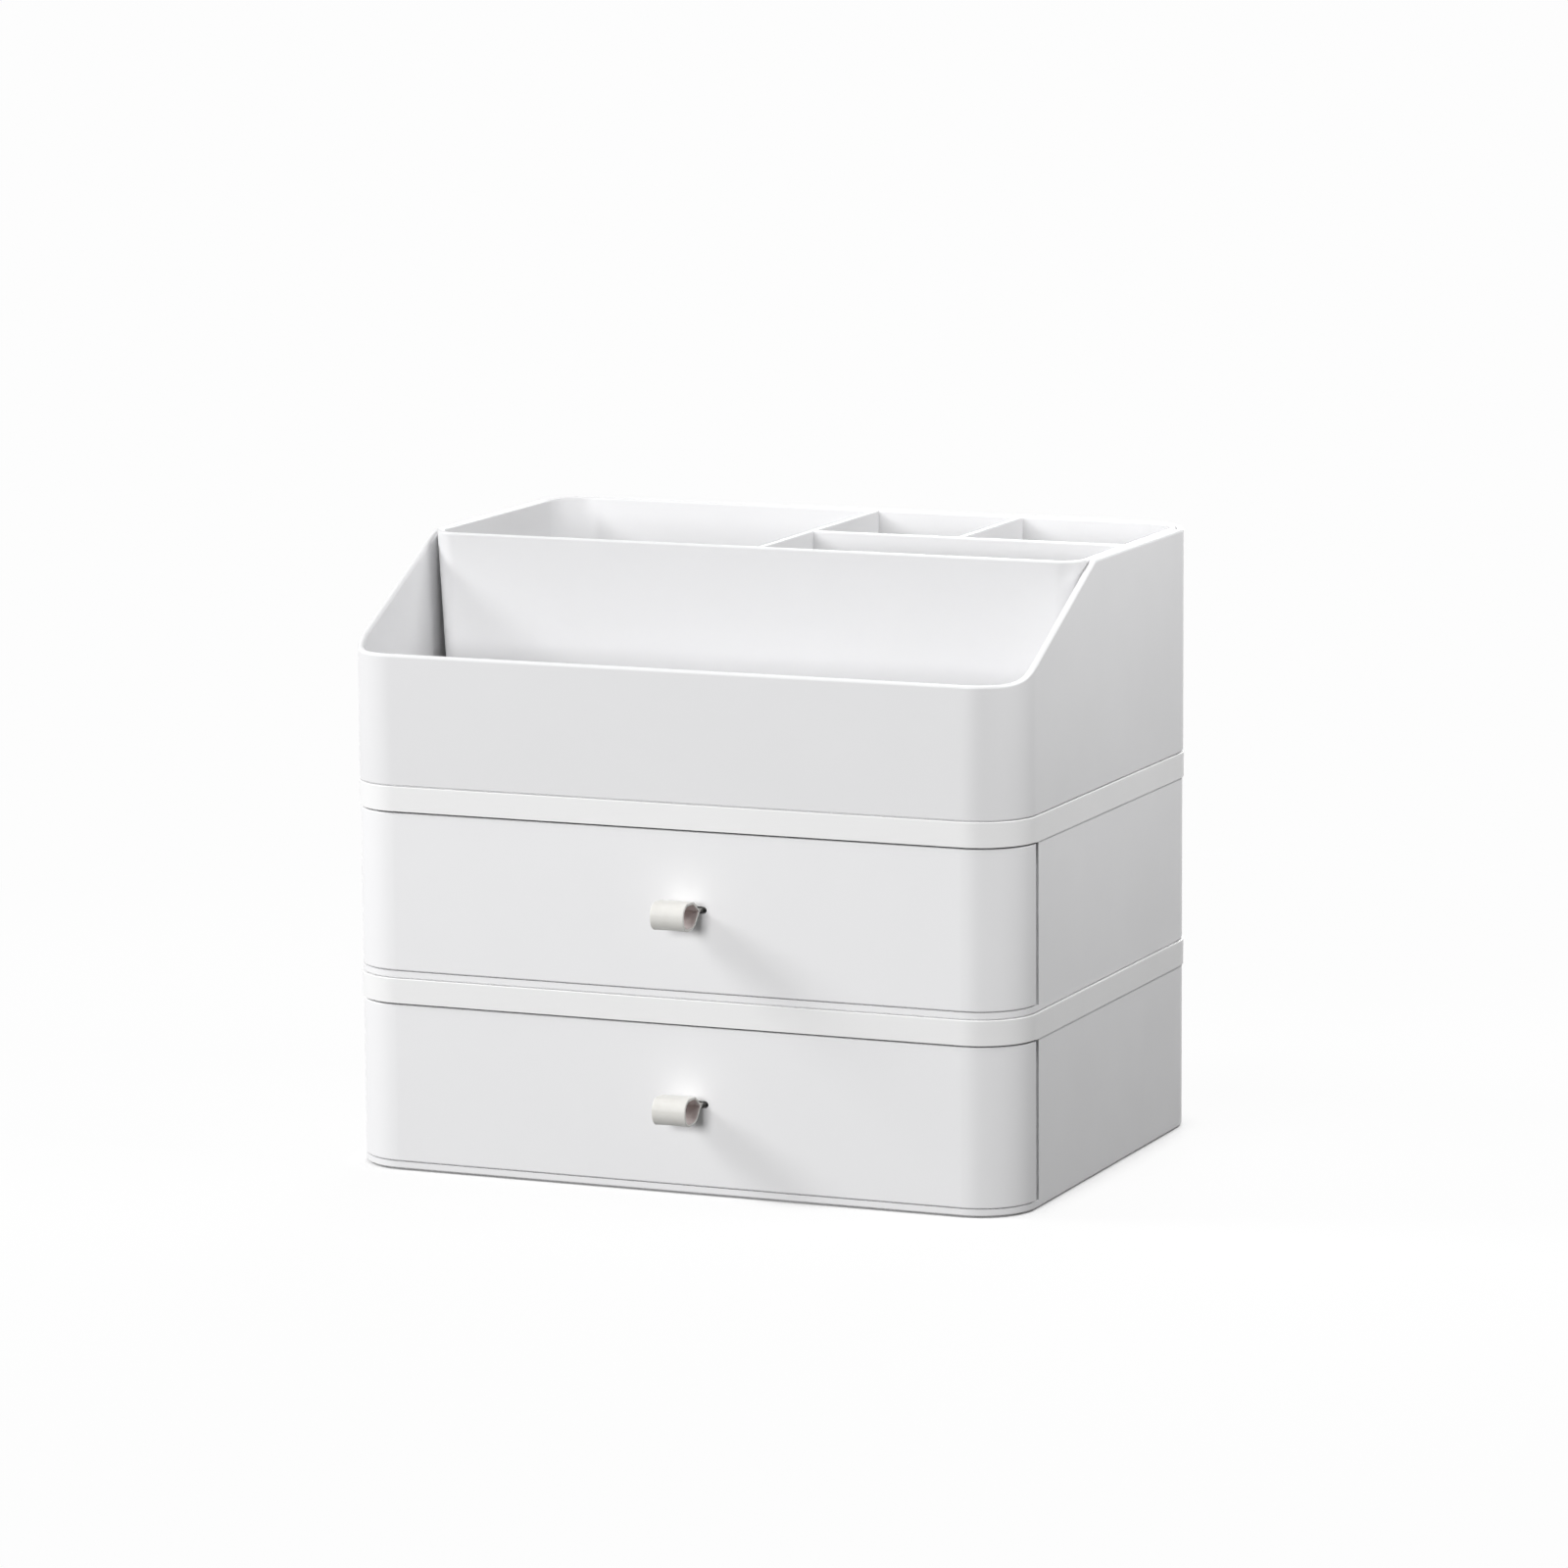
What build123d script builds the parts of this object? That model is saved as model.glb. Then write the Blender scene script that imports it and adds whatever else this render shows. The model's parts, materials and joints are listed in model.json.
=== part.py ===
from build123d import *
import os

# A desktop storage unit of white moulded plastic: two drawer modules stacked one on the other, a caddy
# tray with slanted side walls on top, and a divided bin that lifts out of the tray's rear half.
# Millimetres. +Z is up, the drawers open towards -Y, and the origin is the middle of the footprint, pulls
# included, on the surface that the unit stands on.

# Overall sizes
width = 300.0
depth = 219.0
corner_radius = 24.0
module_pitch = 80.8
tray_height = 95.5
tray_front_height = 54.1

# Housing of one drawer module: a floor with a low lip, two side walls, a back and a stepped collar on top
wall_step = 0.6
housing_wall = 2.4
floor_lip = 3.05
edge_round = 0.6
foot_seam = 0.25
foot_inset = 1.2
foot_recess = 0.9
foot_rim = 12.0
collar_wall = 2.2
collar_drop = 7.0
beam_rise = 0.6
seam_gap = 0.3
join_depth = 0.5
runner_height = 0.8
runner_width = 4.0
runner_inset = 36.0

# Snap catches between collar and lid
catch_length = 16.0
catch_height = 2.4
catch_proud = 0.6
catch_gap = 0.2
pocket_margin = 0.4
catches_a_side = 3

# Lid of one drawer module
lid_band = 10.4
lid_plate = 2.4
lid_skirt = 2.2
lid_fit = 0.2
lid_round = 1.1
plateau_height = 0.7
plateau_fit = 0.3

# Drawer
wrap_length = 23.6
wrap_gap = 1.5
face_wall = 2.4
face_gap_above = 0.8
face_gap_below = 0.3
box_wall = 2.2
box_floor = 2.0
box_round = 4.0
box_foot_round = 3.0
side_gap = 0.8
rear_gap = 2.5
runner_gap = 0.3
rim_gap = 0.6
drawer_travel = 150.0

# Stops that hold the open drawer: tabs on its back wall and ribs under the lid
stop_width = 20.0
stop_inset = 24.0
stop_rise = 4.4
stop_overlap = 1.9
stop_gap = 0.3

# Pull strap, folded to a loop through a slot in the drawer's face, with its retainer and rivet behind
pull_reach = 19.0
pull_width = 14.8
pull_height = 12.4
pull_offset = 5.5
pull_rise = 1.1
strap_thickness = 1.1
strap_layer_gap = 0.2
strap_neck = 3.0
strap_flare = 9.5
strap_droop = 0.8
strap_end_round = 5.2
strap_tail = 10.0
slot_fit = 0.25
slot_spare = 2.2
retainer_thickness = 1.6
retainer_width = 27.0
retainer_height = 15.0
retainer_round = 2.4
rivet_head_radius = 3.5
rivet_head_height = 1.1
rivet_shank_radius = 1.5
rivet_hole_gap = 0.1
rivet_gap = 0.3

# Caddy tray on top
tray_step = 0.25
tray_wall = 3.0
tray_floor_lip = 3.3
tray_seam = 0.3
tray_foot_inset = 1.2
tray_inner_round = 3.0
tray_rim_round = 1.45
slant_start = 12.4
slant_end = 86.0
slant_low_round = 25.0
slant_top_round = 5.0

# Divided bin in the tray
bin_setback = 86.0
bin_fit = 0.3
bin_wall = 2.6
bin_floor = 2.2
bin_front_radius = 11.0
bin_draft = 3.0
bin_rim_round = 0.9
bin_inner_round = 2.5
bin_foot_round = 2.0
divider_wall = 2.2
divider_face = 5.5
cross_divider_setback = 139.4
second_divider_face = 72.0

# Foot pads
pad_proud = 0.5
pad_radius = 6.0
pad_inset = 30.0
pad_round = 0.3

# Planes that several pieces share
front_y = -(depth - pull_reach) / 2
back_y = front_y + depth
face_front = front_y + wall_step
wrap_end = face_front + wrap_length
housing_half = width / 2 - wall_step
housing_back = back_y - wall_step
housing_radius = corner_radius - wall_step
collar_half = width / 2 - lid_skirt - lid_fit
collar_front = front_y + lid_skirt + lid_fit
collar_back = back_y - lid_skirt - lid_fit
collar_radius = corner_radius - lid_skirt - lid_fit
tray_base = pad_proud + 2 * module_pitch
tray_top = tray_base + tray_height
tray_floor_top = tray_base + tray_floor_lip
box_back = housing_back - housing_wall - rear_gap
stop_tab_front = box_back - box_wall
stop_rib_back = stop_tab_front - drawer_travel - stop_gap


def block(half_width, y_low, y_high, z_low, z_high, radius):
    """A block that is centred on X, with its four upright edges rounded."""
    plan = RectangleRounded(2 * half_width, y_high - y_low, radius)
    return Pos(0, (y_low + y_high) / 2, z_low) * extrude(plan, z_high - z_low)


def cuboid(x_low, x_high, y_low, y_high, z_low, z_high):
    """A plain box between its lowest and highest corners."""
    middle = Pos((x_low + x_high) / 2, (y_low + y_high) / 2, (z_low + z_high) / 2)
    return middle * Box(x_high - x_low, y_high - y_low, z_high - z_low)


def edges_at(solid, z):
    """The edges of a solid that lie in the level plane at z."""
    return [e for e in solid.edges() if abs(e.bounding_box().min.Z - z) < 0.001
            and abs(e.bounding_box().max.Z - z) < 0.001]


def skirt_edge(base):
    """Height of the lower edge of a module's lid band."""
    return base + module_pitch - lid_band


def collar_low(base):
    """Height of the collar's lower edge, which keeps the open drawer from tipping."""
    return skirt_edge(base) - seam_gap - collar_drop


def box_top(base):
    """Height of the rim of a drawer's box."""
    return collar_low(base) - rim_gap


def pull_height_at(base):
    """Height of the pull slot, a little above the middle of the drawer's face."""
    face_bottom = base + floor_lip + face_gap_below
    face_top = skirt_edge(base) - face_gap_above
    return (face_bottom + face_top) / 2 + pull_rise


def catch_places(base):
    """Where the snap catches sit on the collar, each turned so that its own +Y points outwards."""
    z = base + module_pitch - lid_plate - (lid_band - lid_plate) / 2
    places = []
    pitch = (collar_back - collar_front) / (catches_a_side + 1)
    for i in range(catches_a_side):
        y = collar_front + pitch * (i + 1)
        places.append(Location((collar_half, y, z), (0, 0, -90)))
        places.append(Location((-collar_half, y, z), (0, 0, 90)))
    for x in (-collar_half / 2, collar_half / 2):
        places.append(Location((x, collar_back, z), (0, 0, 0)))
        places.append(Location((x, collar_front, z), (0, 0, 180)))
    return places


def make_foot_recess(half, y_low, y_high, base, radius):
    """The shallow hollow under a module, which drops over the plateau of the lid below it."""
    return block(half - foot_rim, y_low + foot_rim, y_high - foot_rim, base, base + foot_recess,
                 radius - foot_rim)


def make_housing(base):
    """Floor, side walls and back in one moulding, with the collar that the lid snaps over."""
    floor_top = base + floor_lip
    shoulder = skirt_edge(base) - seam_gap
    plate_under = base + module_pitch - lid_plate
    shell = block(housing_half, face_front, housing_back, base + foot_seam, shoulder, housing_radius)
    shell = fillet(edges_at(shell, base + foot_seam), edge_round)
    shell += block(housing_half - foot_inset, face_front + foot_inset, housing_back - foot_inset, base,
                   floor_top, housing_radius - foot_inset)
    shell -= block(housing_half - housing_wall, face_front + housing_wall, housing_back - housing_wall,
                   floor_top, shoulder, housing_radius - housing_wall)
    collar = block(collar_half, collar_front, collar_back, collar_low(base), plate_under, collar_radius)
    collar -= block(collar_half - collar_wall, collar_front + collar_wall, collar_back - collar_wall,
                    collar_low(base), plate_under, collar_radius - collar_wall)
    shell += collar
    wedge = make_face(Polyline((-catch_proud, -catch_height / 2), (catch_proud, 0),
                               (-catch_proud, catch_height / 2), close=True))
    catch = extrude(Plane.YZ * wedge, catch_length / 2, both=True)
    shell += [place * catch for place in catch_places(base)]
    # The front stays open for the drawer, up to the beam that the collar makes behind the lid band
    shell -= cuboid(-width, width, front_y - 1, wrap_end + wrap_gap, floor_top, skirt_edge(base) + beam_rise)
    for side in (-1, 1):
        x = side * (housing_half - runner_inset)
        shell += cuboid(x - runner_width / 2, x + runner_width / 2, wrap_end + wrap_gap,
                        housing_back - housing_wall, floor_top - join_depth, floor_top + runner_height)
    return shell - make_foot_recess(housing_half, face_front, housing_back, base, housing_radius)


def make_lid(base):
    """Cover plate with a skirt, snap pockets, the drawer stop ribs and the plateau for the next module."""
    top = base + module_pitch
    under = top - lid_plate
    lid = block(width / 2, front_y, back_y, skirt_edge(base), top, corner_radius)
    lid = fillet(edges_at(lid, top), lid_round)
    lid -= block(width / 2 - lid_skirt, front_y + lid_skirt, back_y - lid_skirt, skirt_edge(base), under,
                 corner_radius - lid_skirt)
    pocket = Pos(0, catch_gap, 0) * Box(catch_length + 2 * pocket_margin, 2 * catch_proud,
                                        catch_height + 2 * pocket_margin)
    lid -= [place * pocket for place in catch_places(base)]
    lid += block(housing_half - foot_rim - plateau_fit, face_front + foot_rim + plateau_fit,
                 housing_back - foot_rim - plateau_fit, top, top + plateau_height,
                 housing_radius - foot_rim - plateau_fit)
    rib_low = box_top(base) + stop_rise - stop_overlap
    for side in (-1, 1):
        middle = side * (housing_half - stop_inset - stop_width / 2)
        lid += cuboid(middle - stop_width / 2, middle + stop_width / 2, stop_rib_back - box_wall,
                      stop_rib_back, rib_low, under + join_depth)
    return lid


def make_drawer(base):
    """Drawer box and its face in one moulding; the face wraps round both front corners."""
    face_bottom = base + floor_lip + face_gap_below
    face_top = skirt_edge(base) - face_gap_above
    box_half = housing_half - housing_wall - side_gap
    box_bottom = base + floor_lip + runner_height + runner_gap
    box_radius = housing_radius - housing_wall - side_gap
    rim = box_top(base)
    face = block(housing_half, face_front, face_front + depth, face_bottom, face_top, housing_radius)
    face -= block(housing_half - face_wall, face_front + face_wall, face_front + depth - face_wall, rim,
                  face_top, housing_radius - face_wall)
    face = fillet(edges_at(face, face_top) + edges_at(face, face_bottom), edge_round)
    face &= cuboid(-width, width, front_y, wrap_end, face_bottom, face_top)
    face -= block(housing_half - face_wall, face_front + face_wall, wrap_end + depth, face_bottom,
                  box_bottom, housing_radius - face_wall)
    box = block(box_half, face_front + face_wall / 2, box_back, box_bottom, rim, box_radius)
    box = fillet(edges_at(box, box_bottom), box_foot_round)
    face += box
    front_room = block(housing_half - face_wall, face_front + face_wall, face_front + depth,
                       box_bottom + box_floor, face_top, housing_radius - face_wall)
    front_room &= cuboid(-width, width, front_y, wrap_end - face_wall, box_bottom, face_top)
    rear_room = block(box_half - box_wall, face_front + face_wall, box_back - box_wall,
                      box_bottom + box_floor, face_top, box_radius - box_wall)
    room = front_room + rear_room
    room = fillet(edges_at(room, box_bottom + box_floor), box_round)
    drawer = face - room
    for side in (-1, 1):
        middle = side * (housing_half - stop_inset - stop_width / 2)
        drawer += cuboid(middle - stop_width / 2, middle + stop_width / 2, stop_tab_front, box_back,
                         rim - join_depth, rim + stop_rise)
    slot = SlotOverall(pull_width + 2 * slot_spare, 2 * slot_half_height())
    slot = extrude(Plane.XZ * slot, face_wall, both=True)
    return drawer - Pos(pull_offset, face_front + face_wall / 2, pull_height_at(base)) * slot


def slot_half_height():
    """Half the height of the slots that both layers of the strap pass through."""
    return strap_layer_gap / 2 + strap_thickness + slot_fit


def strap_point(out, up, base):
    """A point of the strap's profile, by its distance out of the drawer's face and above the slot."""
    return (face_front - out, pull_height_at(base) + up)


def rivet_y():
    """Where the rivet stands, just behind the retainer."""
    return face_front + face_wall + retainer_thickness + rivet_gap + rivet_head_radius


def make_strap(base):
    """One strap folded to a loop that droops a little, its two ends lying together through the slot."""
    layer = (strap_layer_gap + strap_thickness) / 2
    crest = (pull_height - strap_thickness) / 2
    reach = wall_step + pull_reach - strap_thickness / 2
    tail = -(face_wall + retainer_thickness + strap_tail)
    outs = (tail, strap_neck, strap_flare, reach)
    rises = (layer, layer, crest - strap_droop, crest - strap_droop)
    drops = (-layer, -layer, -crest - strap_droop, -crest - strap_droop)
    path = [strap_point(out, up, base) for out, up in zip(outs, rises)]
    path += [strap_point(out, up, base) for out, up in reversed(list(zip(outs, drops)))]
    bend = 2 * strap_thickness
    radii = [bend, 2 * bend, strap_end_round, strap_end_round, 2 * bend, bend]
    line = Plane.YZ * FilletPolyline(*path, radius=radii)
    profile = make_face(offset(line, strap_thickness / 2, side=Side.BOTH).edges())
    strap = Pos(pull_offset, 0, 0) * extrude(profile, pull_width / 2, both=True)
    hole = Cylinder(rivet_shank_radius + rivet_hole_gap, 4 * layer + 1)
    return strap - Pos(pull_offset, rivet_y(), pull_height_at(base)) * hole


def make_retainer(base):
    """Plate behind the drawer's face that the riveted strap ends bear on."""
    y = face_front + face_wall
    plate = RectangleRounded(retainer_width, retainer_height, retainer_round)
    plate -= SlotOverall(pull_width + 2 * slot_spare, 2 * slot_half_height())
    plate = extrude(Plane.XZ * plate, -retainer_thickness)
    return Pos(pull_offset, y, pull_height_at(base)) * plate


def make_rivet(base):
    """Two-headed rivet through both strap ends; its heads are too thick to pass the slot."""
    half_stack = strap_layer_gap / 2 + strap_thickness
    shank = Cylinder(rivet_shank_radius, 2 * (half_stack + rivet_head_height / 2))
    head = Cylinder(rivet_head_radius, rivet_head_height)
    rivet = shank
    for side in (-1, 1):
        cap = Pos(0, 0, side * (half_stack + rivet_head_height / 2)) * head
        outer = half_stack + rivet_head_height
        cap = fillet(edges_at(cap, side * outer), rivet_head_height / 2)
        rivet += cap
    return Pos(pull_offset, rivet_y(), pull_height_at(base)) * rivet


def make_tray():
    """Open tray with a low front wall; its side walls slant up to the full height of the back."""
    half = width / 2 - tray_step
    low, high = front_y + tray_step, back_y - tray_step
    radius = corner_radius - tray_step
    rim = tray_base + tray_front_height
    tray = block(half, low, high, tray_base + tray_seam, tray_top, radius)
    tray = fillet(edges_at(tray, tray_base + tray_seam), edge_round)
    tray += block(half - tray_foot_inset, low + tray_foot_inset, high - tray_foot_inset, tray_base,
                  tray_floor_top, radius - tray_foot_inset)
    room = block(half - tray_wall, low + tray_wall, high - tray_wall, tray_floor_top, tray_top + 1,
                 radius - tray_wall)
    tray -= fillet(edges_at(room, tray_floor_top), tray_inner_round)
    above = tray_top + tray_height
    profile = make_face(Polyline((front_y - 1, rim), (front_y + slant_start, rim),
                                 (front_y + slant_end, tray_top), (back_y + 1, tray_top),
                                 (back_y + 1, above), (front_y - 1, above), close=True))
    foot = profile.vertices().sort_by_distance((front_y + slant_start, rim))[0]
    profile = fillet(foot, slant_low_round)
    head = profile.vertices().sort_by_distance((front_y + slant_end, tray_top))[0]
    profile = fillet(head, slant_top_round)
    tray -= extrude(Plane.YZ * profile, width, both=True)
    rims = [e for e in tray.edges() if e.bounding_box().min.Z > rim - 0.001]
    tray = fillet(rims, tray_rim_round)
    return tray - make_foot_recess(half, low, high, tray_base, radius)


def bin_solid(inset, z_top, height):
    """A block of the bin's plan, drawn in by inset, that narrows downwards from z_top by the draft."""
    half = width / 2 - tray_step - tray_wall - bin_fit - inset
    low = front_y + bin_setback + inset
    high = back_y - tray_step - tray_wall - bin_fit - inset
    rear_radius = corner_radius - tray_step - tray_wall - bin_fit - inset
    plan = Pos(0, (low + high) / 2) * Rectangle(2 * half, high - low)
    plan = fillet(plan.vertices().group_by(Axis.Y)[0], bin_front_radius - inset)
    plan = fillet(plan.vertices().group_by(Axis.Y)[-1], rear_radius)
    return Pos(0, 0, z_top) * extrude(plan, -height, taper=bin_draft)


def make_bin():
    """Divided bin with drafted walls; it stands on the tray's floor, flush with the tray's rim."""
    outer = bin_solid(0, tray_top, tray_top - tray_floor_top)
    inner = bin_solid(bin_wall, tray_top, tray_top - tray_floor_top - bin_floor)
    low, high = front_y + bin_setback, back_y
    cross = front_y + cross_divider_setback
    dividers = cuboid(divider_face - divider_wall, divider_face, low, high, tray_floor_top, tray_top)
    dividers += cuboid(divider_face, width / 2, cross, cross + divider_wall, tray_floor_top, tray_top)
    dividers += cuboid(second_divider_face - divider_wall, second_divider_face, cross, high,
                       tray_floor_top, tray_top)
    bin_shell = fillet(edges_at(outer, tray_floor_top), bin_foot_round) - inner + (outer & dividers)
    bin_shell = fillet(edges_at(bin_shell, tray_floor_top + bin_floor), bin_inner_round)
    return fillet(edges_at(bin_shell, tray_top), bin_rim_round)


def make_pads():
    """Four soft pads stuck in the hollow under the lower housing."""
    pad = Pos(0, 0, (pad_proud + foot_recess) / 2) * Cylinder(pad_radius, pad_proud + foot_recess)
    pad = fillet(edges_at(pad, 0), pad_round)
    x = housing_half - pad_inset
    pads = [Pos(side * x, y, 0) * pad for side in (-1, 1)
            for y in (face_front + pad_inset, housing_back - pad_inset)]
    return Compound(children=pads)


parts = {}
for level, base in (("lower", pad_proud), ("upper", pad_proud + module_pitch)):
    parts[f"{level}_housing"] = make_housing(base)
    parts[f"{level}_lid"] = make_lid(base)
    parts[f"{level}_drawer"] = make_drawer(base)
    parts[f"{level}_pull_strap"] = make_strap(base)
    parts[f"{level}_pull_retainer"] = make_retainer(base)
    parts[f"{level}_pull_rivet"] = make_rivet(base)
parts["caddy_tray"] = make_tray()
parts["divided_bin"] = make_bin()
parts["foot_pads"] = make_pads()

os.makedirs("parts", exist_ok=True)
for name, solid in parts.items():
    export_step(solid, f"parts/{name}.step")
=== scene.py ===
import json
from math import radians, tan

import bmesh
import bpy
from mathutils import Matrix, Vector

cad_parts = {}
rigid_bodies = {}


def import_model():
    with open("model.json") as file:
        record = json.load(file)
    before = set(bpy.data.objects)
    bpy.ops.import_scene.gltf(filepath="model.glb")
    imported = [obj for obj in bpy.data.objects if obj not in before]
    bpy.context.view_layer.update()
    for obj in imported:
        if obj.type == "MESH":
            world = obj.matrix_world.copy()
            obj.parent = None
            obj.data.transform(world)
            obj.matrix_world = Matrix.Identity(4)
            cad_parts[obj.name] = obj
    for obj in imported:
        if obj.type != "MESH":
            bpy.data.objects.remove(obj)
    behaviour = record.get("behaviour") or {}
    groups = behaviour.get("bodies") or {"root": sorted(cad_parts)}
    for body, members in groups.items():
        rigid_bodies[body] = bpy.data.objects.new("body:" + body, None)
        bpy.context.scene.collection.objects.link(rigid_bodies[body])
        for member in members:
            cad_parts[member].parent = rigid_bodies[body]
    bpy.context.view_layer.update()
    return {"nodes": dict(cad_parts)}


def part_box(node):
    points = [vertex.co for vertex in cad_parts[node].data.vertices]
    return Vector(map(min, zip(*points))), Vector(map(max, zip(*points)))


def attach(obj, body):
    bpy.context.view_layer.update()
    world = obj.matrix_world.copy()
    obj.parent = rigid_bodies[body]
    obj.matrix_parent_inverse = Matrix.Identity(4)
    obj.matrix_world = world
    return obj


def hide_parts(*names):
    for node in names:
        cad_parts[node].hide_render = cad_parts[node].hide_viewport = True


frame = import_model()

# Camera
# A long lens looks down a little at the unit's front right corner, from about three metres away. Its place
# and turn were fitted to the edges of the unit in the photo.
MM = 0.001
view_azimuth = radians(22.828)
view_down = radians(9.269)
view_roll = radians(-0.388)
camera_place = Vector((1161.6, -2741.1, 640.8)) * MM
focal_length_px = 7336.9
image_width_px = 1600

camera_data = bpy.data.cameras.new("photo_view")
camera_data.sensor_width = 36.0
camera_data.lens = focal_length_px * camera_data.sensor_width / image_width_px
camera = bpy.data.objects.new("photo_view", camera_data)
scene_objects = bpy.context.scene.collection.objects
scene_objects.link(camera)
bpy.context.scene.camera = camera
turn = (Matrix.Rotation(view_azimuth, 4, "Z") @ Matrix.Rotation(radians(90) - view_down, 4, "X")
        @ Matrix.Rotation(view_roll, 4, "Z"))
camera.matrix_world = Matrix.Translation(camera_place) @ turn


# Studio
# Four softboxes: a large one in front, one high at the left, a small one over the right side, which lights
# that wall from its rim down, and one behind. To the camera the surroundings are near white.
def linear(hex_colour):
    """Linear RGBA of an sRGB colour that is written as hex."""
    channels = [int(hex_colour[i:i + 2], 16) / 255 for i in (1, 3, 5)]
    return [c / 12.92 if c <= 0.04045 else ((c + 0.055) / 1.055) ** 2.4 for c in channels] + [1.0]


def add_node(tree, kind, links=(), **settings):
    """Adds a shader node; settings name its properties and sockets, and links pairs sockets with outputs."""
    node = tree.nodes.new("ShaderNode" + kind)
    for name, value in settings.items():
        if hasattr(node, name):
            setattr(node, name, value)
        else:
            node.inputs[name.replace("_", " ")].default_value = value
    for socket, source in links:
        tree.links.new(source, node.inputs[socket])
    return node


def new_material(name):
    """An empty node material and its tree."""
    material = bpy.data.materials.new(name)
    material.use_nodes = True
    material.node_tree.nodes.clear()
    return material, material.node_tree


def is_seen_ray(tree):
    """One for camera, glossy and transmission rays, which see the plain background, and zero for others."""
    path = add_node(tree, "LightPath")
    seen = add_node(tree, "Math", [(0, path.outputs["Is Camera Ray"]), (1, path.outputs["Is Glossy Ray"])],
                    operation="MAXIMUM")
    return add_node(tree, "Math", [(0, seen.outputs[0]), (1, path.outputs["Is Transmission Ray"])],
                    operation="MAXIMUM").outputs[0]


background_white = linear("#FDFDFD")
fill_strength = 0.165

world = bpy.data.worlds.new("studio")
world.use_nodes = True
bpy.context.scene.world = world
tree = world.node_tree
tree.nodes.clear()
fill = add_node(tree, "Background", Color=linear("#FFFFFF"), Strength=fill_strength)
seen = add_node(tree, "Background", Color=background_white, Strength=1.0)
mix = add_node(tree, "MixShader", [(0, is_seen_ray(tree)), (1, fill.outputs[0]), (2, seen.outputs[0])])
add_node(tree, "OutputWorld", [("Surface", mix.outputs[0])])

light_aim = Vector((0.0, 0.0, 0.13))
for name, place, side, watts in (("front_softbox", (-0.20, -3.1, 0.85), 0.9, 62.5),
                                 ("left_softbox", (-1.9, -0.60, 1.45), 0.7, 38.3),
                                 ("right_softbox", (0.56, 0.02, 0.66), 0.3, 3.25),
                                 ("back_softbox", (-0.4, 2.3, 0.8), 1.0, 34.0)):
    light_data = bpy.data.lights.new(name, "AREA")
    light_data.size = side
    light_data.energy = watts
    light = bpy.data.objects.new(name, light_data)
    light.visible_camera = False
    scene_objects.link(light)
    facing = (light_aim - Vector(place)).to_track_quat("-Z", "Y")
    light.matrix_world = Matrix.Translation(place) @ facing.to_matrix().to_4x4()

# The floor is a sweep of paper. It glows as white as the background, shows a share of its real shading
# round the unit, and nearly all of it in the narrow strip where the unit stands close above it.
sweep_size = 60.0
shadow_share = 0.08
shadow_near = 0.22
shadow_far = 0.75
contact_share = 0.90
contact_reach = 12.0 * MM
contact_closed = 0.40
contact_open = 0.95
floor_material, tree = new_material("paper_sweep")
paper = add_node(tree, "BsdfDiffuse", Color=linear("#505050"))
seen_paper = add_node(tree, "BsdfDiffuse", Color=linear("#FFFFFF"))
glow = add_node(tree, "Emission", Color=background_white, Strength=1.0)
near = add_node(tree, "AmbientOcclusion", samples=6, Distance=contact_reach)
contact = add_node(tree, "MapRange", [("Value", near.outputs["AO"])], From_Min=contact_closed,
                   From_Max=contact_open, To_Min=contact_share, To_Max=shadow_share)
place = add_node(tree, "TexCoord").outputs["Object"]
distance = add_node(tree, "VectorMath", [(0, place)], operation="LENGTH")
fade = add_node(tree, "MapRange", [("Value", distance.outputs["Value"])], From_Min=shadow_near,
                From_Max=shadow_far, To_Min=1.0, To_Max=0.0)
share = add_node(tree, "Math", [(0, contact.outputs[0]), (1, fade.outputs[0])], operation="MULTIPLY")
shaded = add_node(tree, "MixShader", [(0, share.outputs[0]), (1, glow.outputs[0]),
                                      (2, seen_paper.outputs[0])])
mix = add_node(tree, "MixShader", [(0, is_seen_ray(tree)), (1, paper.outputs[0]), (2, shaded.outputs[0])])
add_node(tree, "OutputMaterial", [("Surface", mix.outputs[0])])
bpy.ops.mesh.primitive_plane_add(size=sweep_size)
floor = bpy.context.object
floor.name = "paper_sweep"
floor.data.materials.append(floor_material)


# Housings
# Each drawer module's floor, side walls and back are one injection moulding in opaque white
# polypropylene, with a fine spark-eroded texture outside.
nodes = frame["nodes"]
tiny = 0.01 * MM
weld_distance = 0.001 * MM
crisp_angle = radians(30)
face_wrap = 23.6 * MM
wrap_gap = 1.5 * MM
wrap_gap_seen = 2.8 * MM
flow_size = 38.0 * MM
sink_depth = 0.15 * MM
grain_depth = 0.03 * MM
gloss_spread = 0.03


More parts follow.
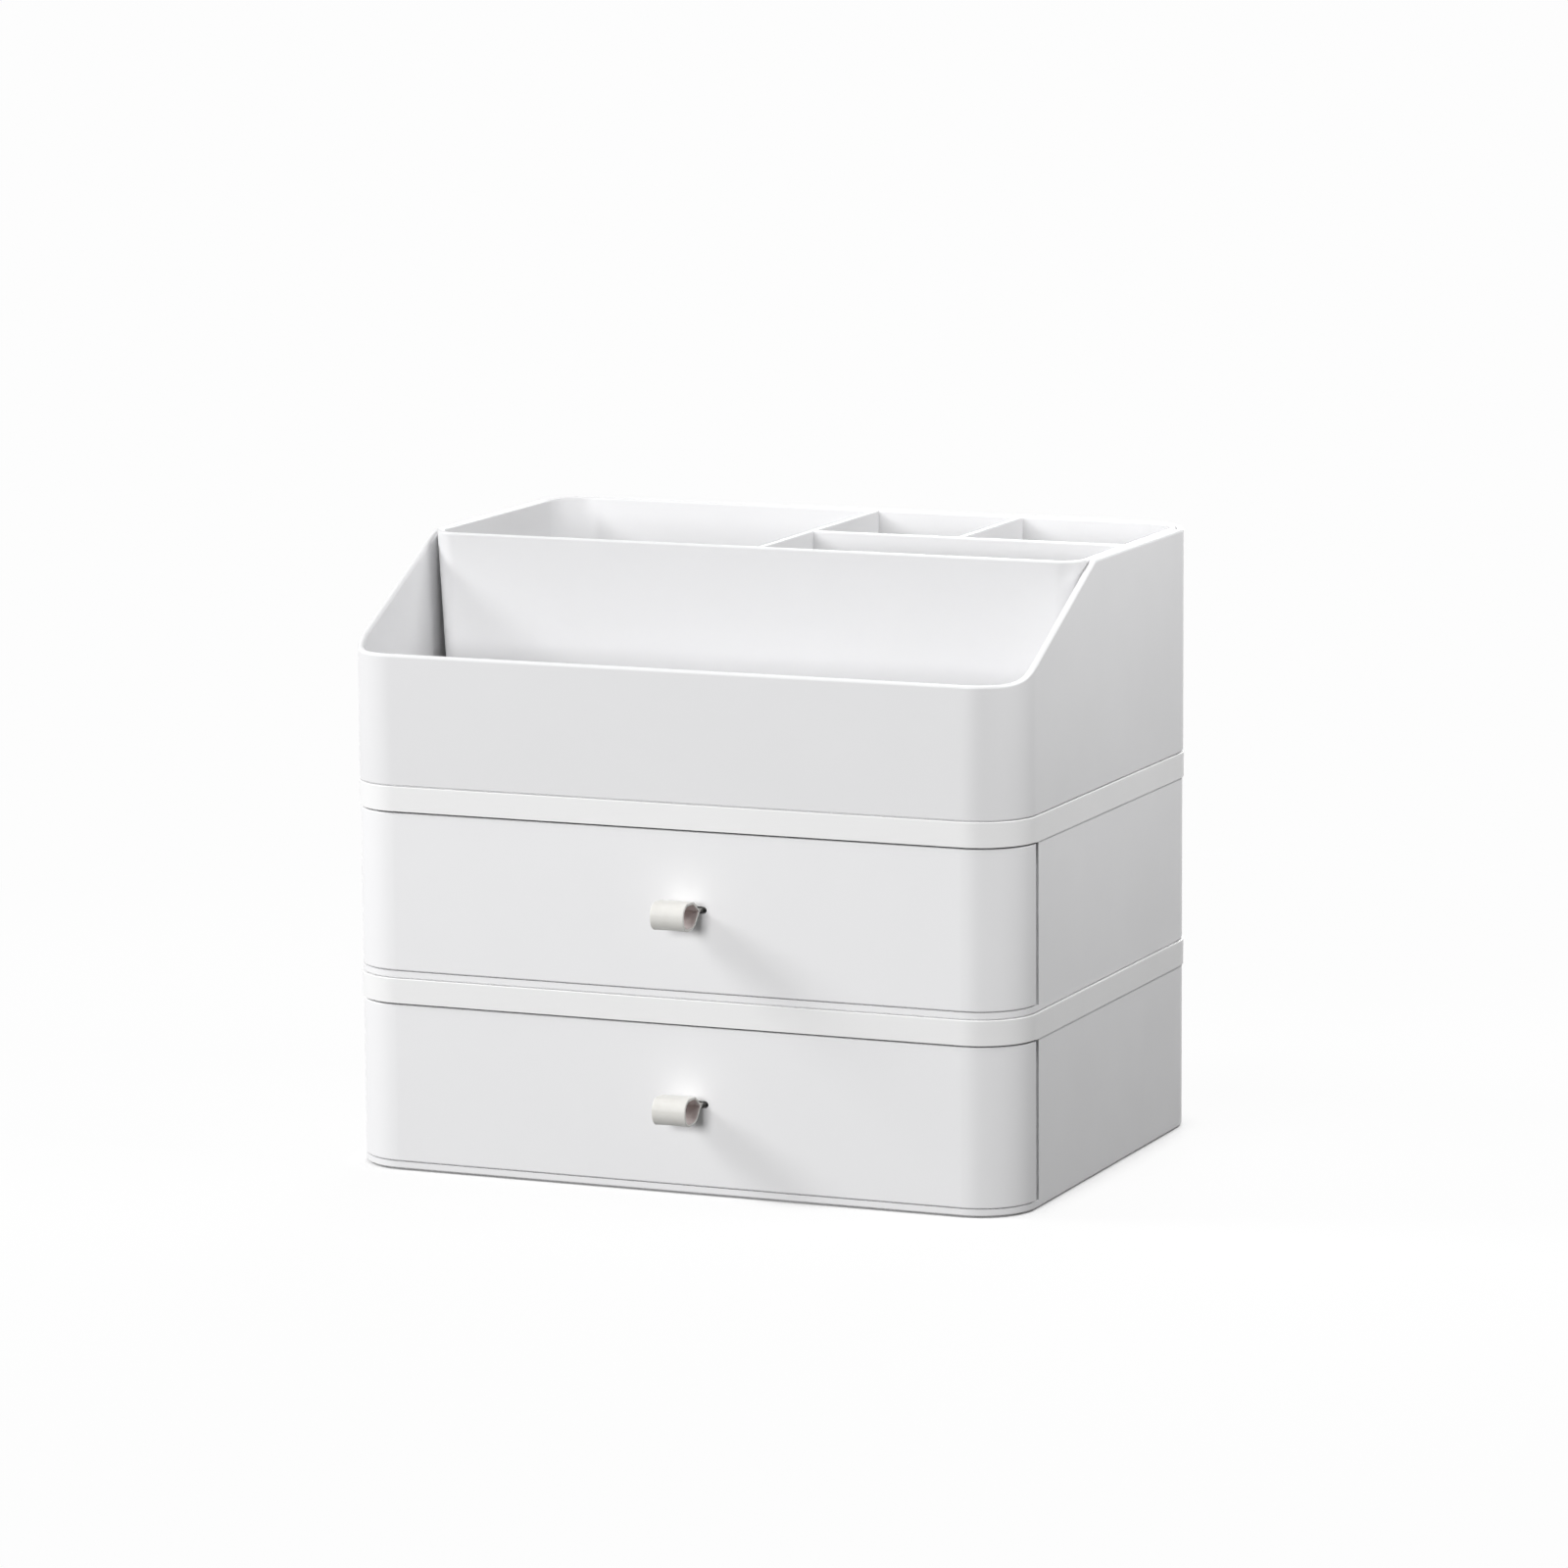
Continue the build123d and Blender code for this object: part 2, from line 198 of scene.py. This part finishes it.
def moulded_polypropylene(name, colour, shade, roughness, grain):
    """Satin white plastic: fine texture, faint sink and flow clouds, and a gloss that varies with them."""
    material, tree = new_material(name)
    place = add_node(tree, "TexCoord").outputs["Object"]
    # The eroded grain is about 0.1 mm wide on real mouldings, and is drawn coarser so that it shows
    texture = add_node(tree, "TexNoise", [("Vector", place)], Scale=1 / grain, Detail=2.0)
    flow = add_node(tree, "TexNoise", [("Vector", place)], Scale=1 / flow_size, Detail=3.0, Roughness=0.6)
    sink = add_node(tree, "Bump", [("Height", flow.outputs["Fac"])], Strength=0.12, Distance=sink_depth)
    bump = add_node(tree, "Bump", [("Height", texture.outputs["Fac"]), ("Normal", sink.outputs["Normal"])],
                    Strength=0.25, Distance=grain_depth)
    tint = add_node(tree, "MixRGB", [("Fac", flow.outputs["Fac"])], Color1=linear(shade),
                    Color2=linear(colour))
    gloss = add_node(tree, "MapRange", [("Value", flow.outputs["Fac"])], From_Min=0.3, From_Max=0.7,
                     To_Min=roughness + gloss_spread, To_Max=roughness - gloss_spread)
    shell = add_node(tree, "BsdfPrincipled", [("Normal", bump.outputs["Normal"]),
                                              ("Base Color", tint.outputs[0]),
                                              ("Roughness", gloss.outputs[0])], IOR=1.49)
    add_node(tree, "OutputMaterial", [("Surface", shell.outputs[0])])
    return material


def merged_copy(name):
    """A bmesh of a node's mesh with its doubles merged."""
    shape = bmesh.new()
    shape.from_mesh(nodes[name].data)
    bmesh.ops.remove_doubles(shape, verts=shape.verts, dist=weld_distance)
    return shape


def add_piece(name, shape, *materials):
    """Makes an object at the origin of a finished bmesh, with its materials in order."""
    mesh = bpy.data.meshes.new(name)
    shape.to_mesh(mesh)
    shape.free()
    for material in materials:
        mesh.materials.append(material)
    piece = bpy.data.objects.new(name, mesh)
    scene_objects.link(piece)
    return piece


def add_moulding(name, shape, material, stands_for, body):
    """Makes a piece of a closed shape: walls stay flat, rounds run smoothly and other edges stay crisp."""
    for face in shape.faces:
        face.smooth = True
    for edge in shape.edges:
        edge.smooth = edge.calc_face_angle() < crisp_angle
    piece = add_piece(name, shape, material)
    attributes = piece.data.attributes
    if "custom_normal" in attributes:
        attributes.remove(attributes["custom_normal"])
    piece.modifiers.new("flat_walls", "WEIGHTED_NORMAL").keep_sharp = True
    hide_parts(stands_for)
    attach(piece, body)


housing_plastic = moulded_polypropylene("housing_polypropylene", "#F0F0F1", "#ECECED", 0.42, 0.40 * MM)
for level, body in (("lower", "base_module"), ("upper", "upper_module")):
    housing_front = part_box(level + "_housing")[0][1]
    housing = merged_copy(level + "_housing")
    # The side walls start a little further behind the drawer's face, which leaves the gap that shows
    wall_start = housing_front + face_wrap + wrap_gap
    for v in housing.verts:
        if abs(v.co.y - wall_start) < tiny:
            v.co.y += wrap_gap_seen - wrap_gap
    add_moulding(level + "_moulded_housing", housing, housing_plastic, level + "_housing", body)

# Lids
# Each module's cover is a polypropylene moulding that snaps over the housing's collar. Behind the drawer's
# face its skirt comes down on the housing's shoulder, where the joint hardly shows, and its upper edge is
# nearly sharp.
lid_corner = 24.0 * MM
lid_band = 10.4 * MM
lid_plateau = 0.7 * MM
lid_round = 1.1 * MM
lid_round_seen = 0.4 * MM
shoulder_gap = 0.3 * MM
# The lid's colour is a little lighter than the housing's: painted light, for the band that looks brighter
lid_plastic_with_painted_light = moulded_polypropylene("lid_polypropylene_painted_light", "#F2F2F2", "#EEEEEE", 0.40, 0.36 * MM)
for level, body in (("lower", "base_module"), ("upper", "upper_module")):
    lid_low, lid_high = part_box(level + "_lid")
    lid_top = lid_high[2] - lid_plateau
    core_low = lid_low + Vector((lid_corner, lid_corner, 0))
    core_high = lid_high - Vector((lid_corner, lid_corner, 0))
    lid = merged_copy(level + "_lid")
    for v in lid.verts:
        if abs(v.co.z - lid_top + lid_band) < tiny and v.co.y > core_low.y - tiny:
            v.co.z -= shoulder_gap
        core = Vector((min(max(v.co.x, core_low.x), core_high.x),
                       min(max(v.co.y, core_low.y), core_high.y)))
        outwards = v.co.xy - core
        inset = lid_corner - outwards.length
        depth = lid_top - v.co.z
        if inset < lid_round + tiny and -tiny < depth < lid_round + tiny:
            v.co.xy += outwards.normalized() * inset * (1 - lid_round_seen / lid_round)
            v.co.z = lid_top - depth * lid_round_seen / lid_round
    add_moulding(level + "_snap_lid", lid, lid_plastic_with_painted_light, level + "_lid", body)


# Drawers
# Each drawer's open box and the face that wraps round its two front corners are one moulding of the same
# polypropylene. It slides on runners inside its housing.
def finish_node(name, material):
    """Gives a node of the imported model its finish."""
    nodes[name].data.materials.clear()
    nodes[name].data.materials.append(material)


drawer_plastic = moulded_polypropylene("drawer_polypropylene", "#F0F0F1", "#ECECED", 0.42, 0.40 * MM)
for level in ("lower", "upper"):
    finish_node(level + "_drawer", drawer_plastic)

# Pulls
# Each pull is one strip of thick leather with a white coat outside, coloured a little below white as painted
# shade, and its flesh side inside, whose grey-brown is partly its own colour and partly painted shade in the
# loop's hollow. It is cut straight and folded to a loop. Its two ends lie together through the slot in the
# drawer's face.
strap_thickness = 1.1 * MM
strap_layer_gap = 0.2 * MM
strap_neck = 2.2 * MM
strap_flare = 7.6 * MM
strap_droop = 0.8 * MM
strap_neck_round = 2 * strap_thickness
strap_flare_round = 4 * strap_thickness
strap_end_round = 5.2 * MM
strap_bend_segments = 10
strap_width_cuts = 11
strap_rim_angle = radians(69)
strap_edge_round = 0.3 * MM
strap_edge_lift = 0.03
strap_lift_power = 3
cut_edge_normal = 0.5
pore_size = 0.55 * MM
pore_depth = 0.06 * MM
crease_size = 4.0 * MM
fibre_size = 0.25 * MM
fibre_depth = 0.08 * MM
patch_size = 3.0 * MM


def coated_leather(name):
    """Coated leather: a soft sheen over fine pores and a few shallow creases, in an off-white that is partly
    painted shade.
    """
    material, tree = new_material(name)
    place = add_node(tree, "TexCoord").outputs["Object"]
    # The pores are about 0.2 mm apart on real leather, and are drawn coarser so that they show
    pores = add_node(tree, "TexVoronoi", [("Vector", place)], Scale=1 / pore_size)
    creases = add_node(tree, "TexNoise", [("Vector", place)], Scale=1 / crease_size, Detail=4.0)
    height = add_node(tree, "Math", [(0, pores.outputs["Distance"]), (1, creases.outputs["Fac"])],
                      operation="ADD")
    bump = add_node(tree, "Bump", [("Height", height.outputs[0])], Strength=0.35, Distance=pore_depth)
    # The coat's two colours sit below white: painted shade for the strap's darker underside, which also dims
    # the light the strap throws on the face. Their change along the creases is the coat's own.
    tint = add_node(tree, "MixRGB", [("Fac", creases.outputs["Fac"])], Color1=linear("#D9D7D2"),
                    Color2=linear("#E4E3DF"))
    coat = add_node(tree, "BsdfPrincipled", [("Normal", bump.outputs["Normal"]),
                                             ("Base Color", tint.outputs[0])], Roughness=0.44, IOR=1.5)
    add_node(tree, "OutputMaterial", [("Surface", coat.outputs[0])])
    return material


def flesh_side(name):
    """The strap's inner side: short dull fibres, a little uneven in colour, in a grey-brown that is partly
    painted shade.
    """
    material, tree = new_material(name)
    place = add_node(tree, "TexCoord").outputs["Object"]
    fibres = add_node(tree, "TexNoise", [("Vector", place)], Scale=1 / fibre_size, Detail=6.0, Roughness=0.7)
    patches = add_node(tree, "TexNoise", [("Vector", place)], Scale=1 / patch_size, Detail=2.0)
    bump = add_node(tree, "Bump", [("Height", fibres.outputs["Fac"])], Strength=0.6, Distance=fibre_depth)
    # The grey-brown is partly the flesh side's own colour and partly painted shade that darkens the loop's
    # hollow
    tint = add_node(tree, "MixRGB", [("Fac", patches.outputs["Fac"])], Color1=linear("#CBBFBD"),
                    Color2=linear("#DDD4D1"))
    suede = add_node(tree, "BsdfPrincipled", [("Normal", bump.outputs["Normal"]),
                                              ("Base Color", tint.outputs[0])],
                     Roughness=0.85, Sheen_Weight=0.3, Sheen_Roughness=0.5)
    add_node(tree, "OutputMaterial", [("Surface", suede.outputs[0])])
    return material


coat_with_painted_shade = coated_leather("leather_coat_painted_shade")
inner_side_and_painted_shade = flesh_side("inner_leather_and_painted_shade")
for level in ("lower", "upper"):
    strap_low, strap_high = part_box(level + "_pull_strap")
    face_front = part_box(level + "_drawer")[0][1]
    slot_z = (strap_low[2] + strap_high[2]) / 2 + strap_droop
    layer_rise = (strap_layer_gap + strap_thickness) / 2
    crest = (strap_high[2] - strap_low[2] - strap_thickness) / 2
    nose = strap_low[1] + strap_thickness / 2
    outs = (strap_high[1], face_front - strap_neck, face_front - strap_flare, nose)
    rises = (layer_rise, layer_rise, crest - strap_droop, crest - strap_droop)
    drops = (-layer_rise, -layer_rise, -crest - strap_droop, -crest - strap_droop)
    corners = list(zip(outs, rises)) + list(zip(outs, drops))[::-1]

    # The strap's middle layer is drawn as straight runs, widened to a strip and bent round where they meet
    strap = bmesh.new()
    line = [strap.verts.new((strap_low[0], y, slot_z + up)) for y, up in corners]
    runs = [strap.edges.new(pair) for pair in zip(line, line[1:])]
    strip = bmesh.ops.extrude_edge_only(strap, edges=runs)["geom"]
    strap_width = strap_high[0] - strap_low[0]
    across = Vector((strap_width, 0, 0))
    bmesh.ops.translate(strap, vec=across, verts=[v for v in strip if isinstance(v, bmesh.types.BMVert)])
    bends = [strap_neck_round, strap_flare_round, strap_end_round]
    for (y, up), radius in zip(corners[1:-1], bends + bends[::-1]):
        fold = [e for e in strap.edges if len(e.link_faces) == 2
                and all(abs(v.co.y - y) + abs(v.co.z - slot_z - up) < tiny for v in e.verts)]
        bmesh.ops.bevel(strap, geom=fold, affect="EDGES", offset=radius * tan(fold[0].calc_face_angle() / 2),
                        segments=strap_bend_segments, profile=0.5, material=-1)
    wide = [e for e in strap.edges if abs(e.verts[0].co.x - e.verts[1].co.x) > strap_width / 2]
    bmesh.ops.subdivide_edges(strap, edges=wide, cuts=strap_width_cuts, use_grid_fill=True)
    # Leather that is bent one way lifts a little at its two edges
    axis = Vector((0, nose + strap_end_round, slot_z - strap_droop))
    middle_x = (strap_low[0] + strap_high[0]) / 2
    flare_line = face_front - strap_flare
    for v in strap.verts:
        reach = min(max((flare_line - v.co.y) / (flare_line - axis.y), 0), 1)
        edge_share = abs(v.co.x - middle_x) / (strap_width / 2)
        lift = 1 + strap_edge_lift * reach * edge_share ** strap_lift_power
        v.co.y = axis.y + (v.co.y - axis.y) * lift
        v.co.z = axis.z + (v.co.z - axis.z) * lift
    bmesh.ops.recalc_face_normals(strap, faces=strap.faces)
    bmesh.ops.solidify(strap, geom=strap.faces, thickness=strap_thickness)
    bmesh.ops.recalc_face_normals(strap, faces=strap.faces)
    rim = [e for e in strap.edges if e.calc_face_angle(0) > strap_rim_angle]
    bmesh.ops.bevel(strap, geom=rim, affect="EDGES", offset=strap_edge_round, segments=3, profile=0.5,
                    material=-1)
    for face in strap.faces:
        inward = (axis - face.calc_center_median()).dot(face.normal)
        face.material_index = int(inward > 0 and abs(face.normal.x) < cut_edge_normal)
        face.smooth = True
    piece = add_piece(level + "_folded_strap", strap, coat_with_painted_shade, inner_side_and_painted_shade)
    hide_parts(level + "_pull_strap")
    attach(piece, level + "_drawer")

# Retainers and rivets
# Behind each face a small polypropylene plate takes the pull, and a nickel-plated steel rivet with two
# round heads holds the strap's ends together.
scuff_size = 0.8 * MM
retainer_plastic = moulded_polypropylene("retainer_polypropylene", "#ECECEC", "#E6E6E6", 0.45, 0.40 * MM)
# Nickel plate is a bright, slightly warm mirror, and fine scuffs dull it in patches
rivet_metal, tree = new_material("nickel_plated_steel")
place = add_node(tree, "TexCoord").outputs["Object"]
scuffs = add_node(tree, "TexNoise", [("Vector", place)], Scale=1 / scuff_size, Detail=5.0)
dull = add_node(tree, "MapRange", [("Value", scuffs.outputs["Fac"])], To_Min=0.18, To_Max=0.42)
plating = add_node(tree, "BsdfPrincipled", [("Roughness", dull.outputs[0])], Base_Color=linear("#CFCBC4"),
                   Metallic=1.0)
add_node(tree, "OutputMaterial", [("Surface", plating.outputs[0])])
for level in ("lower", "upper"):
    finish_node(level + "_pull_retainer", retainer_plastic)
    finish_node(level + "_pull_rivet", rivet_metal)

# Caddy tray
# The open tray on top is one polypropylene moulding with slanted side walls and a full round along its rim.
# It stands loose on the upper lid. The slant ends where the bin begins, further back than in the packed
# model, and the front rim is a little higher.
tray_front_height = 54.1 * MM
tray_rim_round = 1.45 * MM
slant_shift = 7.0 * MM
front_rim_lift = 1.1 * MM
# The tray's colour is darker than the housing's: painted shade, for the dimmer light at the top of the unit
tray_plastic_with_painted_shade = moulded_polypropylene("tray_polypropylene_painted_shade", "#E7E7E8", "#E3E3E4", 0.42, 0.40 * MM)
tray_low, tray_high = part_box("caddy_tray")
tray = merged_copy("caddy_tray")
front_rim = tray_low[2] + tray_front_height
for v in tray.verts:
    if v.co.z > front_rim - tray_rim_round - tiny and v.co.y < 0:
        climb = max(0, (v.co.z - front_rim) / (tray_high[2] - front_rim))
        v.co.y += slant_shift * climb
        v.co.z += front_rim_lift * (1 - climb)
add_moulding("slanted_tray", tray, tray_plastic_with_painted_shade, "caddy_tray", "caddy")

# Divided bin
# The bin that lifts out of the tray is moulded in polypropylene with drafted walls and three dividers. Its
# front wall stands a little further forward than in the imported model.
bin_front_radius = 11.0 * MM
bin_front_shift = 4.8 * MM
# The bin's colour is darker again: painted shade, for the dimmer light down inside the tray
bin_plastic_with_painted_shade = moulded_polypropylene("bin_polypropylene_painted_shade", "#E0E0E1", "#DCDCDD", 0.44, 0.40 * MM)
bin_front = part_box("divided_bin")[0][1]
drafted_bin = merged_copy("divided_bin")
for v in drafted_bin.verts:
    if v.co.y < bin_front + bin_front_radius + tiny:
        v.co.y -= bin_front_shift
add_moulding("drafted_bin", drafted_bin, bin_plastic_with_painted_shade, "divided_bin", "bin")

# Foot pads
# Four discs punched from soft foam sheet are stuck in the hollow under the lower housing, with their lower
# edge a little rounded by the cut.
pad_radius = 6.0 * MM
pad_round = 0.3 * MM
pad_segments = 48
flat_end_normal = 0.99
cell_size = 0.3 * MM
cell_depth = 0.08 * MM
# Foam sheet has a dull pale skin, pitted by its small cells
foam, tree = new_material("eva_foam")
place = add_node(tree, "TexCoord").outputs["Object"]
cells = add_node(tree, "TexVoronoi", [("Vector", place)], Scale=1 / cell_size)
bump = add_node(tree, "Bump", [("Height", cells.outputs["Distance"])], Strength=0.5, Distance=cell_depth)
tint = add_node(tree, "MixRGB", [("Fac", cells.outputs["Distance"])], Color1=linear("#D2D2CF"),
                Color2=linear("#DEDEDC"))
skin = add_node(tree, "BsdfPrincipled", [("Normal", bump.outputs["Normal"]),
                                         ("Base Color", tint.outputs[0])], Roughness=0.8)
add_node(tree, "OutputMaterial", [("Surface", skin.outputs[0])])

pads_low, pads_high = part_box("foot_pads")
pads = bmesh.new()
for x in (pads_low[0] + pad_radius, pads_high[0] - pad_radius):
    for y in (pads_low[1] + pad_radius, pads_high[1] - pad_radius):
        middle = Vector((x, y, (pads_low[2] + pads_high[2]) / 2))
        bmesh.ops.create_cone(pads, cap_ends=True, segments=pad_segments, radius1=pad_radius,
                              radius2=pad_radius, depth=pads_high[2] - pads_low[2],
                              matrix=Matrix.Translation(middle))
bottom = [e for e in pads.edges if all(v.co.z < pads_low[2] + tiny for v in e.verts)]
bmesh.ops.bevel(pads, geom=bottom, affect="EDGES", offset=pad_round, segments=3, profile=0.5, material=-1)
for face in pads.faces:
    face.smooth = abs(face.normal.z) < flat_end_normal
piece = add_piece("stuck_foot_pads", pads, foam)
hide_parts("foot_pads")
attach(piece, "base_module")

bpy.context.scene.view_settings.view_transform = "Standard"
